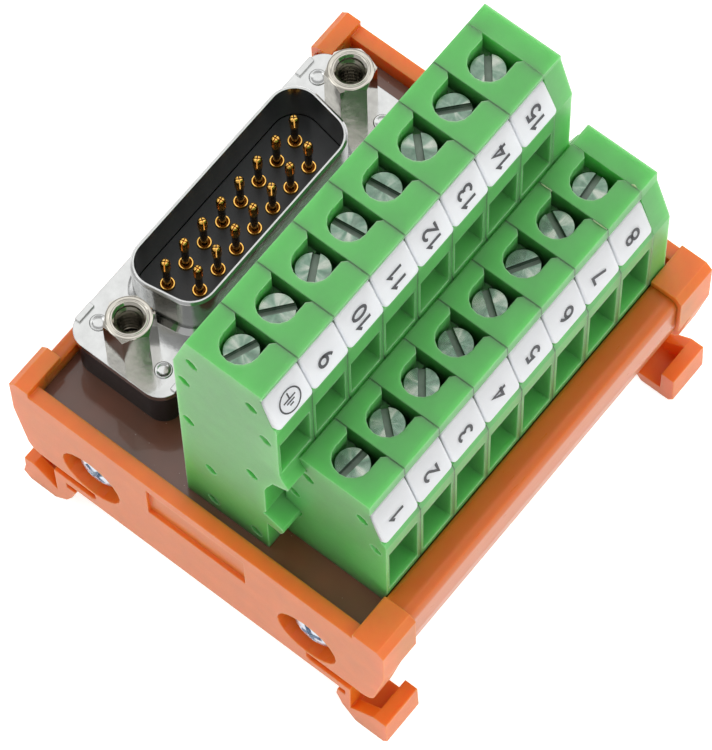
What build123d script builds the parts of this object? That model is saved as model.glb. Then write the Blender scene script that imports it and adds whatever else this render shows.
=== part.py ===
from build123d import *
import math
import os

os.makedirs("parts", exist_ok=True)

# Interface module for a 35 mm rail: a circuit board in a lipped carrier, closed by two end plates with
# spring feet, carrying a fifteen-way D-sub plug and two stepped rows of rising-cage screw terminals.
# X runs along the terminal rows, Y from the terminals to the plug, Z up. The origin lies at the middle
# of the underside of the feet.

# Terminals
pitch = 5.08
poles = 8
segment_gap = 0.04
row_stagger = pitch / 2
cover_thick = 2.54
run_clear = 0.10
row_long = poles * pitch + cover_thick
row_shift = 0.18
upper_x0 = row_shift - (row_long + row_stagger) / 2
lower_x0 = upper_x0 + row_stagger

# D-sub plug
contact_pitch = 2.77
contact_rows = 2.84
contacts_long_row = 8
d_margin_long = 6.85
d_margin_tall = 5.52
d_wide = (contacts_long_row - 1) * contact_pitch + d_margin_long
d_tall = contact_rows + d_margin_tall
d_angle = 80
d_r = 2.6
lock_beside = 3.54
lock_x = d_wide / 2 + lock_beside
flange_end = 2.94
flange_side = 2.07
flange_long = 2 * (lock_x + flange_end)
flange_wide = d_tall + 2 * flange_side
flange_r = 2.3
flange_top = 6.57
flange_thick = 0.8
flare = 0.5
rim_bevel = 0.22
shell_high = 5.95
shell_wall = 0.4
body_inset = 0.4
pin_floor = 7.1
pin_tip = 12.16
pin_taper = 0.45
pin_r = 0.5
pin_clear = 0.04
pin_sides = 6
tail_wide = 0.6
tail_clear = 0.2
tail_low = -3.2
lock_af = 4.5
lock_high = 6.68
lock_bore_r = 1.42
lock_bore_deep = 5.2
lock_lead = 0.2
lock_stud_r = 1.35
stud_sides = 12
lock_stud_long = 4.6
lock_floor_gap = 0.5
lock_bevel = 0.35
stud_clear = 0.05
plug_clear = 0.04
tab_shift = 0.1
tab_inset = 0.05
tab_wide = 2.2
tab_deep = 0.6
tab_high = 0.3

# Board
board_thick = 1.6
board_bite = 1.0

# Depth from the wire side to the plug: lip, lower row, upper row, free board, plug, lip
front_lip = 3.15
rear_lip = 1.8
row_clear = 0.15
rows_front = 19.0
rows_back = 3.2
plug_gap = 5.05
body_clear = 0.15
inner_deep = row_clear + rows_front + rows_back + plug_gap + flange_wide - body_inset + body_clear
rail_out = (front_lip + inner_deep + rear_lip) / 2
rail_front_in = front_lip - rail_out
rail_rear_in = rail_out - rear_lip
rows_y = rail_front_in + row_clear + rows_front
dsub_y = rows_y + rows_back + plug_gap + flange_wide / 2
board_rear_y = rail_rear_in + board_bite
board_front_y = rail_front_in - board_bite

# Carrier
rail_top = 2.1
rail_side_low = -3.0
rail_floor_low = -11.0
floor_thick = 1.2
wall_thick = 1.5
slot_clear = 0.1
ledge_thick = 1.2
port_y = 13.4
port_z = -7.4
port_r = 1.45
port_wall = 1.15
port_slit = 0.9
port_sides = 12

# End plates
end_margin = 2.74
plate_half = (row_long + row_stagger) / 2 + end_margin
rim_thick = 1.6
body_thick = 2.7
block_reach = 4.95
block_top = 3.0
block_bevel = 0.75
block_wrap = 0.55
block_out = rail_out + block_wrap
block_clear = 0.08
end_clear = 0.05
slit_wide = 1.6
slit_top = rail_floor_low - 0.2
slit_low = slit_top - slit_wide
slit_in = 13.2
slit_nib = 0.4
arm_thick = 1.25
arm_low = slit_low - arm_thick
recess_half = 6.0
recess_low = -4.7
recess_top = 0.6
recess_deep = 0.45
counter_r = 3.6
counter_deep = 2.1
counter_sides = 20

# Rail seat
rail_wide = 35.2
rail_grip = 1.0
seat_y = -0.4
seat_high = 1.15

# Feet, hooks with an open hollow above the toe, outside the ends of the seat
foot_drop = 6.45
foot_height = foot_drop - arm_low
foot_flare = 0.3
foot_wall = 1.35
foot_floor = 1.5
hollow_wide = 2.9
hollow_in = rail_wide / 2 + rail_grip
hollow_out = hollow_in + hollow_wide
foot_shank = hollow_out + foot_wall
foot_out = foot_shank + foot_flare
hollow_low = foot_floor - foot_height
hook_top = arm_low - 1.65
web_thick = 1.2
web_rise = 1.15
board_top = foot_height

# End plate screws
plate_screw_r = port_r - 0.05
plate_screw_head_r = 2.6
plate_screw_head = 1.5
plate_screw_long = 9.0
plate_hole_clear = 0.1

# Clamp, measured from the top of its row, the screw axis and the near side of its segment
upper_top = 35.8
lower_top = 20.4
axis_in = 6.2
upper_step = 8.7
upper_axis_y = rows_y - upper_step + axis_in
lower_axis_y = rows_y - rows_front + axis_in
axis_x = 3.0
head_r = 1.8
head_sides = 16
notch_sides = 16
head_clear = 0.13
head_thick = 1.3
head_sink = 1.4
screw_slot_wide = 0.6
screw_slot_deep = 0.65
mouth = 0.45
shoulder_thick = 0.5
thread_r = 1.225
thread_sides = 8
thread_clear = 0.075
cage_wide = 3.7
cage_long = 4.0
cage_wall = 0.5
cage_hole_clear = 0.1
cage_hole_sides = 6
cage_roof = 1.3
cage_floor = 1.2
cage_inner = 4.4
cage_start = 0.3
cage_travel = 3.0
cage_top_clear = 0.15
cage_fall = 1.5
chamber_clear = 0.2
notch_clear = 0.05
notch_sink = head_sink + head_thick + notch_clear
bar_sink = notch_sink + shoulder_thick + cage_top_clear + cage_travel + cage_roof + cage_start
bar_thick = 0.8
bar_wide = 2.5
bar_bite = 0.5
leg_clear = 0.1
near_wall = 0.38
far_wall = 0.42
pocket_roof = 0.3
pocket_sink = bar_sink + bar_thick + pocket_roof
upper_pocket_floor = lower_top + 0.1
lower_pocket_floor = 2.9
upper_pin_y = upper_axis_y + 3.1
lower_pin_y = lower_axis_y + 2.9
solder_pin = 0.9
solder_low = -3.4
solder_hole_r = 0.7

# Marker tags
tag_gap = 0.04

# Slot directions of the clamp screws, in degrees from X
upper_slots = [158.6, 141.3, 28.2, 96.7, 96.7, 46.0, 139.1, 39.1]
lower_slots = [175.7, 48.3, 38.5, 60.0, 52.9, 149.8, 64.1, 5.6]


def at(z):
    """Height in the part's frame of a height above the board."""
    return board_top + z


# Outer shapes of the two rows in the YZ plane, as (y from the back of the lower row's step, height above
# the board). The upper row's two tongues hook under the steps in the back of the lower row.
hook_z = 6.8
upper_front_top = -7.25
lower_front_top = -17.14
tag_up = [
    (-7.0, upper_top - 0.6),
    (-7.25, upper_top - 0.6),
    (-9.12, upper_top - 4.9),
    (-9.05, upper_top - 5.2),
    (-8.28, upper_top - 5.2),
]
tag_low = [
    (-17.0, lower_top - 1.55),
    (-17.25, lower_top - 1.55),
    (-18.98, lower_top - 6.1),
    (-18.9, lower_top - 6.4),
    (-18.42, lower_top - 6.4),
]
upper_head = [
    (rows_back, upper_top - 5.95),
    (rows_back - 1.7, upper_top),
    (upper_front_top, upper_top),
]
upper_tag_seat = [
    (upper_front_top, upper_top - 0.6),
    (-7.0, upper_top - 0.6),
    (-8.28, upper_top - 5.2),
    (-8.62, upper_top - 5.3),
    (-8.76, upper_top - 5.9),
]
upper_face = [
    (-upper_step, upper_top - 6.2),
    (-upper_step, upper_pocket_floor),
    (-9.0, lower_top - 0.8),
    (-9.68, lower_top - 1.9),
    (-9.62, lower_top - 2.2),
    (-7.8, lower_top - 3.2),
    (-6.95, lower_top - 5.4),
    (-6.7, lower_top - 6.4),
    (-6.7, hook_z + 2.1),
    (-6.3, hook_z + 1.4),
    (-8.6, hook_z + 0.35),
    (-8.75, hook_z),
    (-8.4, hook_z - 0.85),
    (-6.75, hook_z - 0.6),
    (-6.75, 0.0),
    (rows_back, 0.0),
]
lower_back = [
    (-7.05, 0.0),
    (-7.05, hook_z - 1.05),
    (-8.6, hook_z - 1.3),
    (-8.95, hook_z),
    (-8.75, hook_z + 0.5),
    (-7.05, hook_z + 1.25),
    (-7.05, lower_top - 5.85),
    (-7.95, lower_top - 3.4),
    (-9.8, lower_top - 2.35),
    (-9.86, lower_top - 1.85),
    (-9.2, lower_top - 0.8),
    (-8.95, lower_top - 0.2),
    (-9.1, lower_top),
    (lower_front_top, lower_top),
]
lower_tag_seat = [
    (-17.2, lower_top - 1.55),
    (-17.0, lower_top - 1.55),
    (-18.42, lower_top - 6.4),
    (-18.76, lower_top - 6.5),
]
lower_face = [
    (-rows_front, lower_top - 7.1),
    (-rows_front, 2.0),
    (-rows_front + 0.7, 0.0),
]
upper_outline = upper_head + upper_tag_seat + upper_face
lower_outline = lower_back + lower_tag_seat + lower_face
upper_cover_outline = [
    *upper_head,
    (upper_front_top, upper_top - 0.6),
    (-8.74, upper_top - 5.7),
    *upper_face,
]
lower_cover_outline = [
    *lower_back,
    (-17.2, lower_top - 1.55),
    (-18.8, lower_top - 6.3),
    *lower_face,
]


def raised(points):
    return [(y, at(z)) for y, z in points]


def in_row(points):
    """Points of the rows' outlines in the part's frame."""
    return [(rows_y + y, at(z)) for y, z in points]


def segment_x(x0, i):
    return x0 + i * pitch + segment_gap / 2


def yz(x):
    """Plane square to X at x, with its own x along Y and its own y along Z."""
    return Plane(origin=(x, 0, 0), x_dir=(0, 1, 0), z_dir=(1, 0, 0))


def add_block(x_lo, x_hi, y_lo, y_hi, z_lo, z_hi, mode):
    """Adds or cuts a rectangle in the open part, heights above the board."""
    with BuildSketch(yz(x_lo)) as section:
        with Locations(((y_lo + y_hi) / 2, at((z_lo + z_hi) / 2))):
            Rectangle(y_hi - y_lo, z_hi - z_lo)
    extrude(section.sketch, amount=x_hi - x_lo, mode=mode)


# Sockets for the joining pegs on the open side of each row, as (y, height)
upper_sockets = [
    (0.95, upper_top - 4.0),
    (2.1, upper_top - 9.2),
    (2.1, upper_top - 18.1),
    (-5.9, upper_top - 3.9),
    (-7.3, upper_top - 9.2),
    (-0.1, 9.3),
    (-5.3, lower_top - 4.6),
    (-0.1, 1.9),
    (-5.3, 1.9),
]
lower_sockets = [
    (-16.2, lower_top - 4.0),
    (-17.7, lower_top - 9.0),
    (-9.9, lower_top - 3.5),
    (-8.1, lower_top - 9.4),
]
socket_long = 1.55
socket_wide = 1.1
socket_corner = 0.35
socket_deep = 0.4
socket_slant = 55


def housing(x0, i, upper):
    """One terminal segment, open towards +X where the next segment closes it."""
    x = segment_x(x0, i)
    top = upper_top if upper else lower_top
    ya = upper_axis_y if upper else lower_axis_y
    face = ya - axis_in
    pin_y = upper_pin_y if upper else lower_pin_y
    wide = pitch - segment_gap
    xa = x0 + i * pitch + axis_x
    half_y = cage_long / 2 + chamber_clear
    in_x = xa - cage_wide / 2 - chamber_clear
    out_x = x + wide
    notch_low = top - notch_sink
    notch_half = head_r + head_clear
    stem_half = thread_r + thread_clear
    shoulder_low = notch_low - shoulder_thick
    with BuildPart() as seg:
        with BuildSketch(yz(x)):
            with BuildLine():
                Polyline(*in_row(upper_outline if upper else lower_outline), close=True)
            make_face()
        extrude(amount=wide)
        # Head notch, flared where it meets the next segment
        with BuildSketch(Plane.XY.offset(at(notch_low))):
            with Locations((xa, ya)):
                RegularPolygon(notch_half, notch_sides, major_radius=False)
            with BuildLine():
                Polyline(
                    (xa, ya - notch_half),
                    (out_x - mouth, ya - notch_half),
                    (out_x, ya - notch_half - mouth),
                    (out_x + 1, ya - notch_half - mouth),
                    (out_x + 1, ya + notch_half + mouth),
                    (out_x, ya + notch_half + mouth),
                    (out_x - mouth, ya + notch_half),
                    (xa, ya + notch_half),
                    close=True,
                )
            make_face()
        extrude(amount=top - notch_low + 1, mode=Mode.SUBTRACT)
        # Slot of the stem through the shoulder under the head
        add_block(
            xa - stem_half,
            out_x + 1,
            ya - stem_half,
            ya + stem_half,
            shoulder_low - 0.5,
            notch_low + 0.5,
            Mode.SUBTRACT,
        )
        # Cage chamber
        chamber_low = top - bar_sink + cage_start - cage_inner - cage_floor - cage_fall
        add_block(in_x, out_x + 1, ya - half_y, ya + half_y, chamber_low, shoulder_low, Mode.SUBTRACT)
        # Slot of the current bar and of its leg
        leg_out = pin_y + bar_thick / 2 + run_clear
        leg_in = pin_y - bar_thick / 2 - run_clear
        bar_high = top - bar_sink + run_clear
        bar_low = top - bar_sink - bar_thick - run_clear
        bar_in = ya - half_y - bar_bite - run_clear
        with BuildSketch(yz(xa - bar_wide / 2 - run_clear)):
            with BuildLine():
                Polyline(
                    (bar_in, at(bar_high)),
                    (leg_out, at(bar_high)),
                    (leg_out, at(-1)),
                    (leg_in, at(-1)),
                    (leg_in, at(bar_low)),
                    (bar_in, at(bar_low)),
                    close=True,
                )
            make_face()
        extrude(amount=pitch, mode=Mode.SUBTRACT)
        # Wire pocket
        add_block(
            x + near_wall,
            out_x - far_wall,
            face - 1,
            ya - half_y + 0.01,
            upper_pocket_floor if upper else lower_pocket_floor,
            top - pocket_sink,
            Mode.SUBTRACT,
        )
        # Peg sockets, on the segment whose side stays open
        if i == 0:
            for y, z in upper_sockets if upper else lower_sockets:
                with BuildSketch(yz(x)) as socket:
                    with Locations(Location((rows_y + y, at(z), 0), (0, 0, socket_slant))):
                        Rectangle(socket_long, socket_wide)
                    chamfer(socket.vertices(), length=socket_corner)
                extrude(amount=socket_deep, mode=Mode.SUBTRACT)
    return seg.part


def save(pieces, name):
    """Writes one node, of one solid or of several equal ones."""
    shape = pieces[0] if len(pieces) == 1 else Compound(children=list(pieces))
    shape.label = name
    export_step(shape, f"parts/{name}.step")


save([housing(upper_x0, i, True) for i in range(poles)], "upper_housings")
save([housing(lower_x0, i, False) for i in range(poles)], "lower_housings")

# End covers, with the outline of the row that each one closes but a plain slope
for name, outline, x0 in (
    ("upper_end_cover", upper_cover_outline, upper_x0),
    ("lower_end_cover", lower_cover_outline, lower_x0),
):
    with BuildPart() as cover:
        with BuildSketch(yz(x0 + poles * pitch + segment_gap / 2)):
            with BuildLine():
                Polyline(*in_row(outline), close=True)
            make_face()
        extrude(amount=cover_thick - segment_gap / 2)
    save([cover.part], name)

# Marker tags, wedges that fill the sloping step above each wire opening
for name, outline, x0 in (("upper_tags", tag_up, upper_x0), ("lower_tags", tag_low, lower_x0)):
    tags = []
    for i in range(poles):
        with BuildPart() as tag:
            with BuildSketch(yz(segment_x(x0, i) + tag_gap)):
                with BuildLine():
                    Polyline(*in_row(outline), close=True)
                make_face()
            extrude(amount=pitch - segment_gap - 2 * tag_gap)
        tags.append(tag.part)
    save(tags, name)

# Current bars with solder pins
for name, upper, x0 in (("upper_contacts", True, upper_x0), ("lower_contacts", False, lower_x0)):
    top = upper_top if upper else lower_top
    ya = upper_axis_y if upper else lower_axis_y
    pin_y = upper_pin_y if upper else lower_pin_y
    bars = []
    for i in range(poles):
        xa = x0 + i * pitch + axis_x
        with BuildPart() as bar:
            front_y = ya - cage_long / 2 - chamber_clear - bar_bite
            high = top - bar_sink
            with BuildSketch(yz(xa - bar_wide / 2)):
                with BuildLine():
                    Polyline(
                        (front_y, at(high)),
                        (pin_y + bar_thick / 2, at(high)),
                        (pin_y + bar_thick / 2, at(leg_clear)),
                        (pin_y - bar_thick / 2, at(leg_clear)),
                        (pin_y - bar_thick / 2, at(high - bar_thick)),
                        (front_y, at(high - bar_thick)),
                        close=True,
                    )
                make_face()
            extrude(amount=bar_wide)
            add_block(
                xa - solder_pin / 2,
                xa + solder_pin / 2,
                pin_y - bar_thick / 2,
                pin_y + bar_thick / 2,
                solder_low,
                leg_clear,
                Mode.ADD,
            )
        bars.append(bar.part)
    save(bars, name)

# Clamp screws and rising cages
for row, upper, x0, slots in (
    ("upper", True, upper_x0, upper_slots),
    ("lower", False, lower_x0, lower_slots),
):
    top = upper_top if upper else lower_top
    ya = upper_axis_y if upper else lower_axis_y
    for i in range(poles):
        xa = x0 + i * pitch + axis_x
        with BuildPart() as screw:
            with BuildSketch(Plane.XY.offset(at(top - head_sink - head_thick))):
                with Locations((xa, ya)):
                    RegularPolygon(head_r, head_sides)
            extrude(amount=head_thick)
            thread_long = bar_sink - head_sink - head_thick - run_clear
            with BuildSketch(Plane.XY.offset(at(top - bar_sink + run_clear))):
                with Locations((xa, ya)):
                    RegularPolygon(thread_r, thread_sides)
            extrude(amount=thread_long)
            with BuildSketch(Plane.XY.offset(at(top - head_sink))):
                with Locations(Location((xa, ya, 0), (0, 0, slots[i]))):
                    Rectangle(2 * head_r + 0.4, screw_slot_wide)
            extrude(amount=-screw_slot_deep, mode=Mode.SUBTRACT)
        save([screw.part], f"{row}_screw_{i + 1}")

        roof_low = top - bar_sink + cage_start
        floor_high = roof_low - cage_inner
        with BuildPart() as cage:
            add_block(
                xa - cage_wide / 2,
                xa + cage_wide / 2,
                ya - cage_long / 2,
                ya + cage_long / 2,
                floor_high - cage_floor,
                roof_low + cage_roof,
                Mode.ADD,
            )
            add_block(
                xa - cage_wide / 2 + cage_wall,
                xa + cage_wide / 2 - cage_wall,
                ya - cage_long / 2 - 1,
                ya + cage_long / 2 + 1,
                floor_high,
                roof_low,
                Mode.SUBTRACT,
            )
            with BuildSketch(Plane.XY.offset(at(roof_low - 0.5))):
                with Locations((xa, ya)):
                    RegularPolygon(thread_r + cage_hole_clear, cage_hole_sides, major_radius=False)
            extrude(amount=cage_roof + 1, mode=Mode.SUBTRACT)
        save([cage.part], f"{row}_cage_{i + 1}")

# Carrier profile, one section along X
board_low = -board_thick
slot_low = board_low - slot_clear
with BuildPart() as profile:
    with BuildSketch(yz(-plate_half + body_thick + end_clear)):
        with BuildLine():
            Polyline(
                (rail_rear_in, at(rail_top)),
                (rail_out - 1.0, at(rail_top)),
                (rail_out - 0.3, at(rail_top - 0.35)),
                (rail_out, at(rail_top - 1.1)),
                (rail_out, at(rail_side_low)),
                (rail_out - 0.35, at(rail_side_low - 0.3)),
                (rail_out - 1.35, at(rail_floor_low + 1.2)),
                (rail_out - 2.3, at(rail_floor_low)),
                (-rail_out + 2.3, at(rail_floor_low)),
                (-rail_out + 1.35, at(rail_floor_low + 1.2)),
                (-rail_out + 0.35, at(rail_side_low - 0.3)),
                (-rail_out, at(rail_side_low)),
                (-rail_out, at(rail_top - 1.1)),
                (-rail_out + 0.3, at(rail_top - 0.35)),
                (-rail_out + 1.0, at(rail_top)),
                (rail_front_in, at(rail_top)),
                (rail_front_in, at(slot_clear)),
                (board_front_y - slot_clear, at(slot_clear)),
                (board_front_y - slot_clear, at(slot_low)),
                (rail_front_in, at(slot_low)),
                (rail_front_in, at(slot_low - ledge_thick)),
                (-rail_out + wall_thick, at(slot_low - ledge_thick)),
                (-rail_out + wall_thick + 0.8, at(rail_floor_low + floor_thick)),
                (rail_out - wall_thick - 0.8, at(rail_floor_low + floor_thick)),
                (rail_out - wall_thick, at(slot_low - ledge_thick)),
                (rail_rear_in - 1.0, at(slot_low - ledge_thick)),
                (rail_rear_in - 1.0, at(slot_low)),
                (board_rear_y + slot_clear, at(slot_low)),
                (board_rear_y + slot_clear, at(slot_clear)),
                (rail_rear_in, at(slot_clear)),
                close=True,
            )
        make_face()
        for side in (-1, 1):
            with Locations((side * port_y, at(port_z))):
                RegularPolygon(port_r + port_wall, port_sides)
                RegularPolygon(port_r, port_sides, major_radius=False, mode=Mode.SUBTRACT)
            with Locations((side * port_y, at(port_z + port_r + port_wall / 2))):
                Rectangle(port_slit, port_wall + 0.6, mode=Mode.SUBTRACT)
    extrude(amount=2 * (plate_half - body_thick - end_clear))
save([profile.part], "carrier_profile")

# End plates. One is made at the near end and mirrored to the other.
rear_foot = [
    (hollow_in - 2.86, arm_low),
    (hollow_in - 1.95, 3.4 - foot_height),
    (hollow_in - 1.1, 1.6 - foot_height),
    (hollow_in + 0.5, -foot_height),
    (foot_out - 0.85, -foot_height),
    (foot_out, 1.0 - foot_height),
    (foot_out - 0.4, 2.9 - foot_height),
    (foot_shank - 0.15, hook_top),
    (hollow_out, hook_top),
    (hollow_out, hollow_low),
    (hollow_in, hollow_low),
    (hollow_in, slit_low),
]
front_foot = [
    (-hollow_in + 1.45, arm_low),
    (-hollow_in + 1.75, 4.1 - foot_height),
    (-hollow_in + 1.0, 2.05 - foot_height),
    (-hollow_in - 0.6, -foot_height),
    (-foot_out + 0.55, -foot_height),
    (-foot_out, 0.8 - foot_height),
    (-foot_out + 0.15, hook_top),
    (-hollow_out, hook_top),
    (-hollow_out, hollow_low),
    (-hollow_in, hollow_low),
    (-hollow_in, slit_low),
]
x_out = -plate_half
x_rim = x_out + rim_thick
x_body = x_out + body_thick
x_block = x_out + block_reach
block_low = rail_side_low - 0.5
taper = [
    (block_out, block_low),
    (block_out - 1.25, rail_floor_low + 1.0),
    (block_out - 1.75, rail_floor_low + 0.2),
    (block_out - 2.55, slit_top),
]
rail_wrap = rail_out + block_clear


def both_sides(points):
    """Closed outline from the points of the +Y half, mirrored to the other half."""
    left = [(-y, z) for y, z in reversed(points)]
    return raised(points + left)


with BuildPart() as near:
    # Rim and the thicker body under the board
    for x_lo, x_hi, high in ((x_out, x_rim, rail_top), (x_rim, x_body, slot_low)):
        with BuildSketch(yz(x_lo)):
            with BuildLine():
                Polyline(*both_sides([(block_out, high), *taper]), close=True)
            make_face()
        extrude(amount=x_hi - x_lo)
    # Corner blocks that cap the ends of the two lips
    for side, inner in ((1, rail_rear_in), (-1, -rail_front_in)):
        cap = [
            (side * inner, block_top),
            (side * (block_out - block_bevel), block_top),
            (side * block_out, block_top - block_bevel),
            (side * block_out, block_low),
        ]
        wrap = [
            (side * rail_wrap, block_low),
            (side * rail_wrap, rail_top - 1.0),
            (side * (rail_wrap - 0.28), rail_top - 0.25),
            (side * (rail_wrap - 0.98), rail_top + slot_clear),
            (side * inner, rail_top + slot_clear),
        ]
        for x_lo, x_hi, rest in ((x_out, x_body, [(side * inner, slot_low)]), (x_body, x_block, wrap)):
            with BuildSketch(yz(x_lo)):
                with BuildLine():
                    Polyline(*raised(cap + rest), close=True)
                make_face()
            extrude(amount=x_hi - x_lo)
    # Slot for the end of the board
    add_block(
        x_rim,
        x_body,
        board_front_y - slot_clear,
        board_rear_y + slot_clear,
        slot_low,
        slot_clear,
        Mode.SUBTRACT,
    )
    # Spring arms and feet under the slits
    with BuildSketch(yz(x_out)):
        with BuildLine():
            Polyline(
                *raised(
                    [
                        (slit_in + slit_nib, slit_low),
                        *reversed(rear_foot),
                        *front_foot,
                        (-slit_in - slit_nib, slit_low),
                        (-slit_in, slit_low + slit_nib),
                        (-slit_in, slit_top),
                        (slit_in, slit_top),
                        (slit_in, slit_low + slit_nib),
                    ]
                ),
                close=True,
            )
        make_face()
    extrude(amount=body_thick)
    for foot in (front_foot, rear_foot):
        with BuildSketch(yz(x_body)):
            with BuildLine():
                Polyline(*raised(foot), close=True)
            make_face()
        extrude(amount=block_reach - body_thick)
    # Thin web with a sloping upper edge across each hollow
    for side in (-1, 1):
        with BuildSketch(yz(x_out)):
            with BuildLine():
                Polyline(
                    *raised(
                        [
                            (side * hollow_in, hollow_low),
                            (side * hollow_in, hollow_low + web_rise),
                            (side * hollow_out, hook_top),
                            (side * hollow_out, hollow_low),
                        ]
                    ),
                    close=True,
                )
            make_face()
        extrude(amount=web_thick)
    # Seat of the rail
    add_block(
        x_out - 1,
        x_block + 1,
        seat_y - rail_wide / 2,
        seat_y + rail_wide / 2,
        arm_low - seat_high,
        arm_low,
        Mode.SUBTRACT,
    )
    # Recessed field and the counterbored screw holes
    add_block(
        x_out - 1,
        x_out + recess_deep,
        -recess_half,
        recess_half,
        recess_low,
        recess_top,
        Mode.SUBTRACT,
    )
    for side in (-1, 1):
        with BuildSketch(yz(x_out)):
            with Locations((side * port_y, at(port_z))):
                RegularPolygon(counter_r, counter_sides)
        extrude(amount=counter_deep, mode=Mode.SUBTRACT)
        with BuildSketch(yz(x_out)):
            with Locations((side * port_y, at(port_z))):
                RegularPolygon(plate_screw_r + plate_hole_clear, port_sides)
        extrude(amount=body_thick + 1, mode=Mode.SUBTRACT)
save([near.part], "end_plate_near")
far_plate = mirror(near.part, about=Plane.YZ)
save([far_plate], "end_plate_far")

# End plate screws in the ports of the profile
plate_screws = []
for end in (-1, 1):
    for side in (-1, 1):
        x_head = x_out + counter_deep
        with BuildPart() as fixing:
            with BuildSketch(yz(x_head - plate_screw_head)):
                with Locations((side * port_y, at(port_z))):
                    RegularPolygon(plate_screw_head_r, head_sides)
            extrude(amount=plate_screw_head)
            with BuildSketch(yz(x_head)):
                with Locations((side * port_y, at(port_z))):
                    RegularPolygon(plate_screw_r, port_sides)
            extrude(amount=plate_screw_long)
        plate_screws.append(fixing.part if end < 0 else mirror(fixing.part, about=Plane.YZ))
save(plate_screws, "end_plate_screws")

# Contact places of the plug, the longer row towards +Y
contacts = []
for row, count in ((1, contacts_long_row), (-1, contacts_long_row - 1)):
    for k in range(count):
        contacts.append(((k - (count - 1) / 2) * contact_pitch, dsub_y + row * contact_rows / 2))
locks = [(-lock_x, dsub_y), (lock_x, dsub_y)]
solder_points = [(upper_x0 + i * pitch + axis_x, upper_pin_y) for i in range(poles)]
solder_points += [(lower_x0 + i * pitch + axis_x, lower_pin_y) for i in range(poles)]

# Circuit board
with BuildPart() as board:
    with BuildSketch(Plane.XY.offset(at(-board_thick))):
        with Locations((0, (board_front_y + board_rear_y) / 2)):
            Rectangle(2 * (plate_half - rim_thick) - 2 * slot_clear, board_rear_y - board_front_y)
        with Locations(*contacts):
            RegularPolygon(tail_wide / 2 + tail_clear, pin_sides, major_radius=False, mode=Mode.SUBTRACT)
        with Locations(*solder_points):
            RegularPolygon(solder_hole_r, pin_sides, major_radius=False, mode=Mode.SUBTRACT)
    extrude(amount=board_thick)
save([board.part], "circuit_board")

# Plug body: a block under the flange and a D-shaped plug that carries the contacts
with BuildPart() as insulator:
    with BuildSketch(Plane.XY.offset(at(0))):
        with Locations((0, dsub_y)):
            RectangleRounded(
                flange_long - 2 * body_inset,
                flange_wide - 2 * body_inset,
                flange_r - body_inset,
            )
    extrude(amount=flange_top - flange_thick)
    with BuildSketch(Plane.XY.offset(at(flange_top - flange_thick))) as plug:
        with Locations((0, dsub_y)):
            Trapezoid(d_wide, d_tall, d_angle, rotation=180)
        fillet(plug.vertices(), radius=d_r)
        offset(amount=-plug_clear)
    extrude(amount=pin_floor - flange_top + flange_thick)
    with BuildSketch(Plane.XY.offset(at(0))):
        with Locations(*contacts):
            RegularPolygon(pin_r + pin_clear, pin_sides, major_radius=False)
    extrude(amount=pin_floor, mode=Mode.SUBTRACT)
    with BuildSketch(Plane.XY.offset(at(flange_top - flange_thick))):
        with Locations(*locks):
            RegularPolygon(lock_stud_r + stud_clear, stud_sides, major_radius=False)
    extrude(amount=-lock_stud_long, mode=Mode.SUBTRACT)
save([insulator.part], "dsub_insulator")

# Drawn shell with its flange, flared base and rolled rim
with BuildPart() as shell:
    with BuildSketch(Plane.XY.offset(at(flange_top - flange_thick))):
        with Locations((0, dsub_y)):
            RectangleRounded(flange_long, flange_wide, flange_r)
    extrude(amount=flange_thick)
    with BuildSketch(Plane.XY.offset(at(flange_top))) as outer:
        with Locations((0, dsub_y)):
            Trapezoid(d_wide, d_tall, d_angle, rotation=180)
        fillet(outer.vertices(), radius=d_r)
        offset(amount=shell_wall)
    extrude(amount=shell_high)
    chamfer(shell.edges().group_by(Axis.Z)[-1], length=rim_bevel)
    base_edges = [
        e
        for e in shell.edges().filter_by_position(Axis.Z, at(flange_top) - 0.001, at(flange_top) + 0.001)
        if abs(e.center().X) < lock_x - 2 and abs(e.center().Y - dsub_y) < flange_wide / 2 - 0.5
    ]
    chamfer(base_edges, length=flare)
    with BuildSketch(Plane.XY.offset(at(flange_top - flange_thick - 1))) as inner:
        with Locations((0, dsub_y)):
            Trapezoid(d_wide, d_tall, d_angle, rotation=180)
        fillet(inner.vertices(), radius=d_r)
    extrude(amount=flange_thick + shell_high + 2, mode=Mode.SUBTRACT)
    with BuildSketch(Plane.XY.offset(at(flange_top - flange_thick))):
        with Locations(*locks):
            RegularPolygon(lock_stud_r + stud_clear, stud_sides, major_radius=False)
    extrude(amount=flange_thick, mode=Mode.SUBTRACT)
    # Clinch tabs folded over the long edges
    with BuildSketch(Plane.XY.offset(at(flange_top))):
        for end in (-1, 1):
            for side in (-1, 1):
                tab_y = dsub_y + side * (flange_wide / 2 - tab_deep / 2 - tab_inset)
                with Locations((end * (lock_x + tab_shift), tab_y)):
                    Rectangle(tab_wide, tab_deep)
    extrude(amount=tab_high)
save([shell.part], "dsub_shell")

# Plug pins, each with a square tail through the board
pins = []
for px, py in contacts:
    with BuildPart() as pin:
        with BuildSketch(Plane.XY.offset(at(0))):
            with Locations((px, py)):
                RegularPolygon(pin_r, pin_sides, major_radius=False)
        extrude(amount=pin_tip - pin_taper)
        with BuildSketch(Plane.XY.offset(at(pin_tip - pin_taper))):
            with Locations((px, py)):
                RegularPolygon(pin_r, pin_sides, major_radius=False)
        extrude(amount=pin_taper, taper=28)
        with BuildSketch(Plane.XY.offset(at(tail_low))):
            with Locations((px, py)):
                Rectangle(tail_wide, tail_wide)
        extrude(amount=-tail_low)
    pins.append(pin.part)
save(pins, "dsub_pins")

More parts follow.
